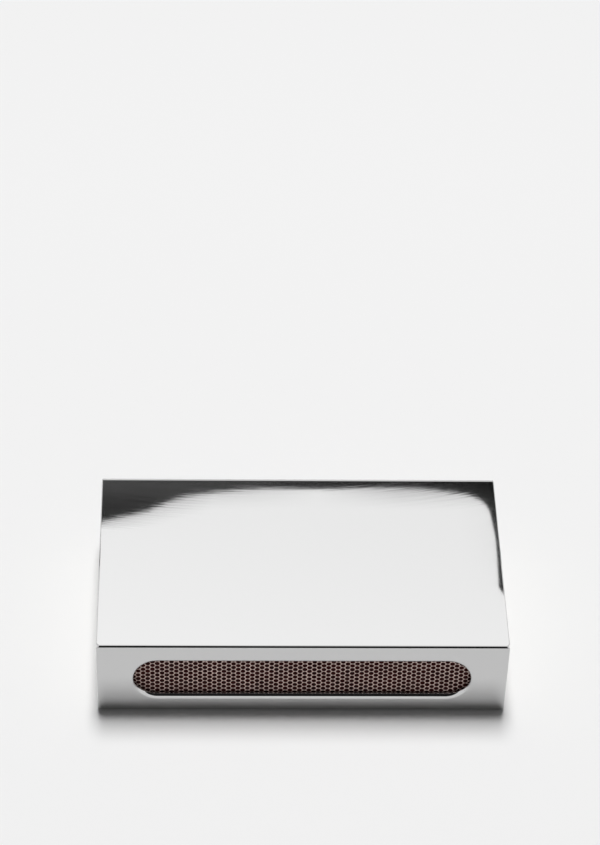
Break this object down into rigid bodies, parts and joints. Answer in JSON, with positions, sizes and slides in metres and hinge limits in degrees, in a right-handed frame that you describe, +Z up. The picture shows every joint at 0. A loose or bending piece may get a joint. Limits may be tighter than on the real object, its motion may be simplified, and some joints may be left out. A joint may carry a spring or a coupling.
{
  "type": "match box",
  "caption": "Household match box in a polished metal sleeve cover with round-ended striking windows in its long sides; the card box and its tray of matches slide out.",
  "frame": {"origin": "under the middle of the cover, on the surface that it lies on", "axes": "+X along the cover's length, the way the box and its tray slide; +Y from the front window to the back one; +Z up"},
  "size_m": [0.115, 0.068, 0.0262],
  "materials": {
    "polished_metal": "mirror polished silver-coloured metal",
    "white_card": "uncoated white card",
    "striking_coat": "dull dark red striking coat in raised dots",
    "grey_board": "uncoated grey board",
    "aspen_wood": "bare sawn aspen",
    "head_compound": "dull dipped ignition compound"
  },
  "bodies": {
    "cover": {"cover": "polished_metal"},
    "box": {"box_sleeve": "white_card", "striker_front": "striking_coat", "striker_back": "striking_coat"},
    "tray": {"tray": "grey_board", "match_stick_01": "aspen_wood", "match_stick_02": "aspen_wood", "match_stick_03": "aspen_wood", "match_stick_04": "aspen_wood", "match_stick_05": "aspen_wood", "match_stick_06": "aspen_wood", "match_stick_07": "aspen_wood", "match_stick_08": "aspen_wood", "match_stick_09": "aspen_wood", "match_stick_10": "aspen_wood", "match_stick_11": "aspen_wood", "match_stick_12": "aspen_wood", "match_stick_13": "aspen_wood", "match_stick_14": "aspen_wood", "match_stick_15": "aspen_wood", "match_stick_16": "aspen_wood", "match_stick_17": "aspen_wood", "match_stick_18": "aspen_wood", "match_stick_19": "aspen_wood", "match_stick_20": "aspen_wood", "match_stick_21": "aspen_wood", "match_stick_22": "aspen_wood", "match_stick_23": "aspen_wood", "match_stick_24": "aspen_wood", "match_stick_25": "aspen_wood", "match_stick_26": "aspen_wood", "match_stick_27": "aspen_wood", "match_head_01": "head_compound", "match_head_02": "head_compound", "match_head_03": "head_compound", "match_head_04": "head_compound", "match_head_05": "head_compound", "match_head_06": "head_compound", "match_head_07": "head_compound", "match_head_08": "head_compound", "match_head_09": "head_compound", "match_head_10": "head_compound", "match_head_11": "head_compound", "match_head_12": "head_compound", "match_head_13": "head_compound", "match_head_14": "head_compound", "match_head_15": "head_compound", "match_head_16": "head_compound", "match_head_17": "head_compound", "match_head_18": "head_compound", "match_head_19": "head_compound", "match_head_20": "head_compound", "match_head_21": "head_compound", "match_head_22": "head_compound", "match_head_23": "head_compound", "match_head_24": "head_compound", "match_head_25": "head_compound", "match_head_26": "head_compound", "match_head_27": "head_compound"}
  },
  "joints": [
    {"name": "box_slide", "type": "slide", "parent": "cover", "child": "box", "axis": [1, 0, 0], "range_m": [-0.115, 0.115]},
    {"name": "tray_slide", "type": "slide", "parent": "box", "child": "tray", "axis": [1, 0, 0], "range_m": [-0.1135, 0.1135]}
  ]
}
